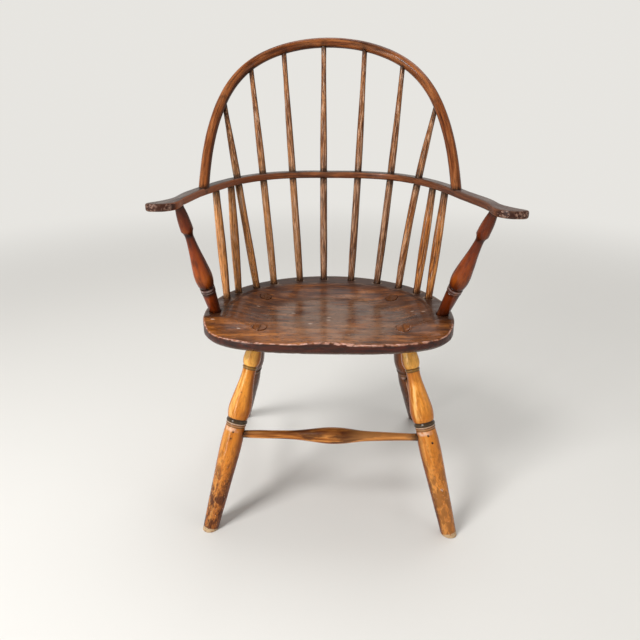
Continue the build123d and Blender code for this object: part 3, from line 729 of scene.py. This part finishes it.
def rod_ends(node):
    """The middles of the lowest and highest ends of a rod."""
    low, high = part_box(node)
    corners = [vertex.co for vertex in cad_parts[node].data.vertices]
    ends = []
    for level in (low.z, high.z):
        rim = [corner for corner in corners if abs(corner.z - level) < ROD_END_DEPTH]
        ends.append(sum(rim, Vector()) / len(rim))
    return ends


for node in SPINDLES:
    work(
        node, spindle_wood, "spindle_wood", rod_ends(node), ["seat", "arm_rail", "back_bow"],
        wave_height=0.0009, wave_length=0.030,
    )

# The arm posts: turned maple under a red-brown varnish that is still glossy, with one
# ring between two scored grooves.
POST_SEAT_HALF_SPAN = 0.2405
POST_SEAT_FRONT = 0.012
POST_HEADS = ((-0.2846, -0.073), (0.3033, -0.109))
POST_HEAD_DROP = 0.0075
POST_REACH = 0.30

post_finish = Finish("post_wood")
post_finish.lay(post_finish.along(POST_REACH, (
    (0.000, (0.030, 0.007, 0.002)),
    (0.012, (0.120, 0.020, 0.003)),
    (0.042, (0.200, 0.030, 0.003)),
    (0.0545, (0.160, 0.024, 0.002)),
    (0.0590, (0.016, 0.004, 0.002)),
    (0.0640, (0.016, 0.004, 0.002)),
    (0.0700, (0.140, 0.020, 0.002)),
    (0.100, (0.240, 0.036, 0.003)),
    (0.140, (0.340, 0.062, 0.005)),
    (0.162, (0.380, 0.080, 0.007)),
    (0.178, (0.150, 0.024, 0.002)),
    (0.1838, (0.012, 0.004, 0.002)),
    (0.1885, (0.012, 0.004, 0.002)),
    # painted highlight: the pale grey bands on the ring
    (0.1898, (0.300, 0.210, 0.190)),
    (0.1925, (0.240, 0.165, 0.150)),
    (0.1938, (0.020, 0.007, 0.004)),
    (0.1955, (0.020, 0.007, 0.004)),
    (0.1968, (0.240, 0.155, 0.130)),
    (0.1985, (0.012, 0.004, 0.002)),
    (0.2020, (0.060, 0.011, 0.002)),
    (0.2080, (0.190, 0.028, 0.003)),
    (0.238, (0.150, 0.021, 0.002)),
    (0.252, (0.060, 0.010, 0.002)),
)))
post_streaks = post_finish.noise(0.009, 4.0, detail=6.0)
post_finish.lay((0.06, 0.01, 0.002), post_finish.band(post_streaks, 0.46, 0.7), 0.75)
post_finish.lay((0.5, 0.13, 0.014), post_finish.band(post_streaks, 0.44, 0.3), 0.3)
# painted shade on the sides turned from the light
post_finish.lay((0.04, 0.007, 0.002), post_finish.facing(LIT_AND_RUBBED_SIDE, 0.65, 0.1), 0.8)
post_finish.lay(
    (0.07, 0.011, 0.002), post_finish.band(post_finish.part(post_finish.place, 0), 0.0, 0.1), 0.32,
)
post_finish.joints((0.010, 0.004, 0.002), 0.008, 0.8)
post_wood = post_finish.done(
    (0.20, 0.32), ((post_finish.noise(0.009, 2.0, shift=3.0), 0.0004),), coat=0.30, coat_rough=0.04,
)
for node, side, (head_x, head_y) in zip(POSTS, (-1, 1), POST_HEADS):
    head = at(head_x, head_y, RAIL_HEIGHT - POST_HEAD_DROP)
    foot = at(side * POST_SEAT_HALF_SPAN, -POST_SEAT_FRONT, SEAT_HEIGHT)
    reach = head + (foot - head).normalized() * POST_REACH
    work(
        node, post_wood, "post_wood", [head, reach], ["seat", "arm_rail"],
        wave_height=0.0006, wave_length=0.02,
    )

# The legs: turned maple, splayed and raked, with a vase over a black ring and a plain
# swelled foot. The varnish is honey above, and scuffed through to brown near the floor.
LEG_TOP_HALF_SPANS = (0.144, 0.142)
LEG_TOP_BACKS = (-0.050, 0.101)
FOOT_HALF_SPANS = (0.254, 0.2395)
FOOT_BACKS = (-0.178, 0.295)
LEG_ASIDES = (0.0075, -0.002)
RING_ATS = (0.244, 0.220)
RING_RISE = 0.0045
BALL_TO_TOP = 0.058
CORD_SHARE = 0.69
LEG_REACH = 0.50
TENON_FROM, TENON_FULL = 0.400, 0.405
PEG_RADIUS = 0.0034
PEGS = (
    (-0.1938, -0.1377, 0.2151),
    (-0.1978, -0.1411, 0.2007),
    (0.2101, -0.1378, 0.2144),
    (0.2188, -0.1412, 0.2),
    (-0.1771, -0.1125, 0.2957),
)
PALE_SPOT = (0.2414, -0.1678, 0.1035)
PALE_SPOT_RADIUS = 0.0042
LEFT_OUTER_SIDE = (0.25, -0.90, 0.25)

LEG_TONES = {
    "front": {
        "foot": (0.400, 0.120, 0.018), "shin": (0.620, 0.200, 0.022), "knee": (0.650, 0.210, 0.018),
        "vase": (0.820, 0.300, 0.034), "ball": (1.000, 0.480, 0.085), "gleam": (1.000, 0.620, 0.200),
        "low_shade": (0.150, 0.032, 0.004), "high_shade_and_figure": (0.340, 0.080, 0.005), "ring": 0.96,
        "tenon_dark": (0.110, 0.031, 0.006), "tenon": (0.220, 0.068, 0.013),
        "left_low": 0.35,
    },
    # the rear legs' tones are darker copies of the front ones, painted shade under the seat
    "rear": {
        "foot": (0.100, 0.028, 0.006), "shin": (0.170, 0.045, 0.008), "knee": (0.270, 0.072, 0.010),
        "vase": (0.340, 0.092, 0.012), "ball": (0.280, 0.078, 0.011), "gleam": (0.380, 0.140, 0.034),
        "low_shade": (0.050, 0.012, 0.003), "high_shade_and_figure": (0.060, 0.014, 0.003), "ring": 0.55,
        "tenon_dark": (0.060, 0.018, 0.005), "tenon": (0.130, 0.040, 0.009),
        "left_low": 0.0,
    },
}


def leg_finish(end, ring_at, length):
    """Varnish tones laid along a leg from the floor to the seat, with painted light and shade."""
    tones = LEG_TONES[end]
    ring_high = ring_at + RING_RISE
    cord = ring_high + (length - BALL_TO_TOP - ring_high) * CORD_SHARE
    finish = Finish(end + "_leg_wood")
    run = finish.part(finish.grain, 0)
    # painted light on each leg's front and outer side, and painted shade on its other sides
    left = finish.number("GREATER_THAN", finish.part(finish.place, 0), 0.0)
    lit = finish.number(
        "ADD",
        finish.product(left, finish.facing(LEFT_OUTER_SIDE, 0.2, 0.8)),
        finish.product(finish.number("SUBTRACT", 1.0, left), finish.facing(LIT_AND_RUBBED_SIDE, 0.25, 0.88)),
    )
    low = finish.band(run, ring_at - 0.02, 0.06)
    finish.lay(finish.along(LEG_REACH, (
        (0.0065, tones["foot"]),
        (0.060, tones["foot"]),
        (0.120, tones["shin"]),
        (0.190, tones["knee"]),
        (ring_at + 0.0200, tones["knee"]),
        (ring_at + 0.040, tones["vase"]),
        (cord - 0.030, tones["vase"]),
        (cord - 0.003, tones["knee"]),
        (cord + 0.0080, tones["ball"]),
        (length - 0.046, tones["ball"]),
        (length - 0.034, tones["high_shade_and_figure"]),
    )))
    # painted shade on the sides turned from the light
    finish.lay(
        finish.along(LEG_REACH, ((0.16, tones["low_shade"]), (0.26, tones["high_shade_and_figure"]))),
        finish.number("SUBTRACT", 1.0, lit),
        0.85,
    )
    # a painted highlight where it bulges towards the light
    figure = finish.noise(0.007, 9.0, detail=6.0, shift=3.0)
    gleam = finish.product(
        finish.facing((-0.55, -0.75, 0.35), 0.78, 0.99), finish.band(figure, 0.62, 0.4),
    )
    finish.lay(
        tones["gleam"],
        gleam,
        finish.number("ADD", finish.product(finish.band(run, ring_at, ring_high + 0.02), 0.4), 0.2),
    )
    finish.lay(tones["high_shade_and_figure"], finish.band(figure, 0.46, 0.66), 0.4)
    # mottled where the varnish is scuffed, more and more towards the floor
    mottle = finish.noise(0.010, 2.0, detail=9.0, distortion=0.5)
    scuffed = finish.number("ADD", mottle, finish.product(low, 0.065))
    finish.lay(
        (0.1, 0.024, 0.004),
        finish.band(scuffed, 0.5, 0.62),
        finish.number("ADD", finish.product(low, 0.7), 0.2),
    )
    speckle = finish.noise(0.0024, 3.0, detail=6.0, shift=4.0)
    finish.lay(
        (0.05, 0.012, 0.003),
        finish.band(speckle, 0.52, 0.64),
        finish.number("ADD", finish.product(low, 0.6), 0.12),
    )
    # painted light: bright amber on the lit side of the lower leg
    finish.lay(
        (0.74, 0.29, 0.044),
        finish.band(speckle, 0.46, 0.36),
        finish.band(mottle, 0.52, 0.4),
        lit,
        low,
        0.6,
    )
    flecks = finish.product(finish.spots(0.007, 0.13, 1.3, shift=5.0), low)
    finish.lay((0.72, 0.48, 0.3), flecks, 0.75)
    # a painted reflection in pale patches under the ring
    painted_reflection = finish.product(
        finish.band(run, ring_at - 0.0225, ring_at - 0.017),
        finish.band(run, ring_at - 0.0105, ring_at - 0.0125),
    )
    finish.lay(
        (0.86, 0.64, 0.52),
        painted_reflection,
        finish.facing((-0.35, -0.9, 0.2), 0.5, 0.9),
        finish.band(finish.noise(0.016, 1.0, shift=14.0), 0.36, 0.6),
        0.55,
    )
    # painted light: brighter on the lit side of the foot at the sitter's left
    finish.lay((0.8, 0.31, 0.06), left, low, lit, tones["left_low"])
    # the ring's lines and the dark cord, in paint and old wax, with a painted highlight line and a
    # painted sheen on the ring
    banded = finish.product(
        finish.band(run, ring_at - 0.0125, ring_at - 0.011),
        finish.band(run, ring_at + 0.0085, ring_at + 0.0062),
    )
    finish.lay(
        finish.along(
            LEG_REACH,
            (
                (ring_at - 0.011, (0.05, 0.014, 0.005)),
                (ring_at - 0.0098, (0.3, 0.13, 0.04)),
                (ring_at - 0.0076, (0.42, 0.21, 0.08)),
                (ring_at - 0.0064, (0.07, 0.012, 0.004)),
                (ring_at - 0.0054, (0.09, 0.016, 0.005)),
                (ring_at - 0.0044, (0.76, 0.54, 0.36)),
                (ring_at - 0.003, (0.7, 0.46, 0.3)),
                (ring_at - 0.002, (0.02, 0.012, 0.006)),
                (ring_at + 0.002, (0.045, 0.036, 0.02)),
                (ring_at + 0.0062, (0.016, 0.01, 0.005)),
            ),
        ),
        banded,
        tones["ring"],
    )
    corded = finish.product(
        finish.band(run, cord - 0.003, cord - 0.0005), finish.band(run, cord + 0.008, cord + 0.005),
    )
    finish.lay(
        finish.along(
            LEG_REACH,
            (
                (cord - 0.0002, (0.06, 0.03, 0.008)),
                (cord + 0.0014, (0.26, 0.15, 0.03)),
                (cord + 0.0034, (0.26, 0.14, 0.028)),
                (cord + 0.005, (0.05, 0.026, 0.008)),
            ),
        ),
        corded,
        0.85,
    )
    # bare end grain round the rim of the foot
    finish.lay(
        (0.56, 0.38, 0.21),
        finish.band(run, 0.006, 0.0042),
        finish.band(finish.noise(0.005, 1.0, shift=16.0), 0.36, 0.48),
    )
    for peg in PEGS:
        finish.lay(
            (0.022, 0.01, 0.005),
            finish.near(at(*peg), PEG_RADIUS),
            finish.band(finish.noise(0.003, 1.6, shift=21.0), 0.34, 0.52),
        )
    finish.lay(
        (0.56, 0.4, 0.29),
        finish.near(at(*PALE_SPOT), PALE_SPOT_RADIUS),
        finish.band(finish.noise(0.003, 1.0, shift=18.0), 0.42, 0.54),
    )
    finish.joints((0.018, 0.008, 0.004), 0.006, 0.85)
    # the tenon's end, planed and waxed with the seat
    finish.lay(finish.shades(finish.noise(0.002, 1.0, shift=2.0), (
        (0.35, tones["tenon_dark"]),
        (0.65, tones["tenon"]),
    )), finish.band(finish.part(finish.place, 2), TENON_FROM, TENON_FULL))
    return finish.done(
        (0.2, 0.4), ((finish.noise(0.008, 2.5, shift=8.0), 0.0008), (mottle, 0.0005)),
        coat=0.4, coat_rough=0.08,
    )


leg_woods = []
for end, name in enumerate(("front", "rear")):
    for side in (-1, 1):
        foot = at(side * FOOT_HALF_SPANS[end] + LEG_ASIDES[end], FOOT_BACKS[end], 0)
        top = at(side * LEG_TOP_HALF_SPANS[end] + LEG_ASIDES[end], LEG_TOP_BACKS[end], SEAT_HEIGHT)
        length = (top - foot).length
        if side < 0:
            leg_woods.append(leg_finish(name, RING_ATS[end], length))
        reach = foot + (top - foot) * (LEG_REACH / length)
        node = f"{name}_leg_" + ("right" if side < 0 else "left")
        work(
            node, leg_woods[end], "leg_wood", [foot, reach], STRETCHERS,
            wave_height=0.0006, wave_length=0.035,
        )

# The wedges: slips of oak, driven from above into the saw cuts of the legs' tenons to
# spread them tight, then planed off with the seat.
wedge_finish = Finish("wedge_wood")
wedge_finish.lay(wedge_finish.shades(wedge_finish.noise(0.0012, 6.0), (
    (0.35, (0.070, 0.023, 0.007)),
    (0.65, (0.150, 0.054, 0.016)),
)))
wedge_wood = wedge_finish.done((0.35, 0.5), ((wedge_finish.noise(0.0008, 6.0), 0.0002),))
for node, leg in zip(WEDGES, LEGS):
    low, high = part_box(node)
    middle = (low + high) / 2
    work(
        node, wedge_wood, "wedge_wood",
        [Vector((middle.x, middle.y, low.z)), Vector((middle.x, middle.y, high.z))],
        [leg], wave_height=0.0, wave_length=0.02,
    )

# The stretchers: a turned maple rail with a bulb between the front legs, and one plain
# swelled rail on each side, driven dry into the legs.
stretcher_finish = Finish("stretcher_wood")
stretcher_streaks = stretcher_finish.noise(0.005, 14.0, detail=5.0)
stretcher_finish.lay(stretcher_finish.shades(stretcher_streaks, (
    (0.34, (0.180, 0.050, 0.007)),
    (0.50, (0.480, 0.160, 0.028)),
    (0.66, (0.820, 0.350, 0.090)),
)))
stretcher_blotches = stretcher_finish.noise(0.018, 3.0, detail=5.0, shift=5.0)
stretcher_finish.lay((0.05, 0.014, 0.005), stretcher_finish.band(stretcher_blotches, 0.47, 0.6), 0.8)
stretcher_finish.lay((0.07, 0.019, 0.006), stretcher_finish.facing((0, -0.2, 1), 0.35, 0.85), 0.6)
stretcher_finish.lay(
    (0.8, 0.36, 0.11),
    stretcher_finish.band(stretcher_finish.part(stretcher_finish.place, 0), 0.02, 0.08),
    0.28,
)
stretcher_finish.joints((0.016, 0.008, 0.005), 0.020, 0.85)
stretcher_wood = stretcher_finish.done(
    (0.26, 0.42), ((stretcher_finish.noise(0.008, 5.0, shift=3.0), 0.0006),),
    coat=0.18, coat_rough=0.15,
)


def middle_line(node, axis):
    """A line through the middle of a piece, along its longest side."""
    low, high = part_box(node)
    start, end = (low + high) / 2, (low + high) / 2
    start[axis], end[axis] = low[axis], high[axis]
    return [start, end]


for node, axis in zip(STRETCHERS, (0, 1, 1)):
    work(
        node, stretcher_wood, "stretcher_wood", middle_line(node, axis), LEGS,
        wave_height=0.0007, wave_length=0.035,
    )

# The place: a plain pale floor under a plain pale surround. One lamp stands high before
# the chair with a low one beside it, a broad one is overhead and a weak one at the side.
PALE = (0.80, 0.785, 0.75)
CEILING = (0.20, 0.19, 0.175)
SKY_SHARES = ((0.38, PALE), (0.56, CEILING))
SKY_LIGHT = (1.0, 0.985, 0.96)
SKY_STRENGTH = 0.40
FLOOR_ROUGHNESS = 0.85
FLOOR_HALF = 12.0
FADE_FROM = 1.4
FADE_TO = 3.2
CAMERA_PLACE = (0.017205, -1.33711, 0.932)
CAMERA_LOOK = (-0.0323, 0.9254, -0.3776)
CAMERA_LENS = 36.0
LAMP_AIM = Vector((0, 0, 0.4))


def seen_rays(tree):
    """One for rays from the camera and for mirrored and bent ones, nought for light rays."""
    path = add_node(tree, "ShaderNodeLightPath")
    total = path["Is Camera Ray"]
    for name in ("Is Glossy Ray", "Is Transmission Ray"):
        total = add_node(tree, "ShaderNodeMath", {0: total, 1: path[name]}, operation="MAXIMUM")[0]
    return total


floor_mesh = bpy.data.meshes.new("floor")
floor_mesh.from_pydata(
    [(x * FLOOR_HALF, y * FLOOR_HALF, 0) for x, y in ((-1, -1), (1, -1), (1, 1), (-1, 1))],
    [], [(0, 1, 2, 3)],
)
floor = bpy.data.objects.new("floor", floor_mesh)
bpy.context.scene.collection.objects.link(floor)
floor_paint = bpy.data.materials.new("floor_paint")
floor_paint.use_nodes = True
floor_tree = floor_paint.node_tree
floor_shader = floor_tree.nodes["Principled BSDF"]
floor_shader.inputs["Base Color"].default_value = (*PALE, 1)
floor_shader.inputs["Roughness"].default_value = FLOOR_ROUGHNESS
floor_glow = add_node(floor_tree, "ShaderNodeEmission", {"Color": (*PALE, 1)})[0]
# far from the chair the floor shows its own colour, so that no horizon shows
floor_spot = add_node(floor_tree, "ShaderNodeTexCoord")["Object"]
floor_away = add_node(floor_tree, "ShaderNodeVectorMath", {0: floor_spot}, operation="LENGTH")["Value"]
floor_fade = add_node(
    floor_tree, "ShaderNodeMapRange", {"Value": floor_away, "From Min": FADE_FROM, "From Max": FADE_TO},
    interpolation_type="SMOOTHSTEP",
)[0]
floor_share = add_node(
    floor_tree, "ShaderNodeMath", {0: floor_fade, 1: seen_rays(floor_tree)}, operation="MULTIPLY",
)[0]
floor_mix = add_node(
    floor_tree, "ShaderNodeMixShader", {0: floor_share, 1: floor_shader.outputs[0], 2: floor_glow},
)[0]
floor_tree.links.new(floor_mix, floor_tree.nodes["Material Output"].inputs["Surface"])
floor_mesh.materials.append(floor_paint)

world = bpy.data.worlds.new("surround")
bpy.context.scene.world = world
world.use_nodes = True
world_tree = world.node_tree
light_sky = world_tree.nodes["Background"]
light_sky.inputs["Color"].default_value = (*SKY_LIGHT, 1)
light_sky.inputs["Strength"].default_value = SKY_STRENGTH
sky_place = add_node(world_tree, "ShaderNodeTexCoord")["Generated"]
sky_height = add_node(world_tree, "ShaderNodeSeparateXYZ", {0: sky_place})["Z"]
sky_tones = world_tree.nodes.new("ShaderNodeValToRGB")
world_tree.links.new(sky_height, sky_tones.inputs[0])
for element, (height, tone) in zip(sky_tones.color_ramp.elements, SKY_SHARES):
    element.position = height
    element.color = (*tone, 1)
seen_sky = add_node(
    world_tree, "ShaderNodeBackground", {"Color": sky_tones.outputs[0], "Strength": 1.0},
)[0]
sky_mix = add_node(
    world_tree, "ShaderNodeMixShader", {0: seen_rays(world_tree), 1: light_sky.outputs[0], 2: seen_sky},
)[0]
world_tree.links.new(sky_mix, world_tree.nodes["World Output"].inputs["Surface"])

LAMPS = (
    ("key_lamp", (-1.5, -1.5, 2.4), (0.9, 0.9), 52.0),
    ("window_lamp", (-1.7, -2.0, 0.85), (0.45, 1.5), 14.0),
    ("top_lamp", (0.3, 1.3, 3.2), (2.0, 2.0), 34.0),
    ("side_lamp", (2.0, -1.2, 1.5), (0.8, 0.8), 4.0),
)
for name, spot, size, power in LAMPS:
    lamp = bpy.data.lights.new(name, "AREA")
    lamp.shape = "RECTANGLE"
    lamp.size, lamp.size_y = size
    lamp.energy = power
    holder = bpy.data.objects.new(name, lamp)
    holder.location = spot
    holder.rotation_euler = (LAMP_AIM - Vector(spot)).to_track_quat("-Z", "Y").to_euler()
    bpy.context.scene.collection.objects.link(holder)

camera_data = bpy.data.cameras.new("camera")
camera_data.lens = CAMERA_LENS
camera = bpy.data.objects.new("camera", camera_data)
camera.location = CAMERA_PLACE
camera.rotation_euler = Vector(CAMERA_LOOK).to_track_quat("-Z", "Y").to_euler()
bpy.context.scene.collection.objects.link(camera)
bpy.context.scene.camera = camera
bpy.context.scene.view_settings.view_transform = "Standard"
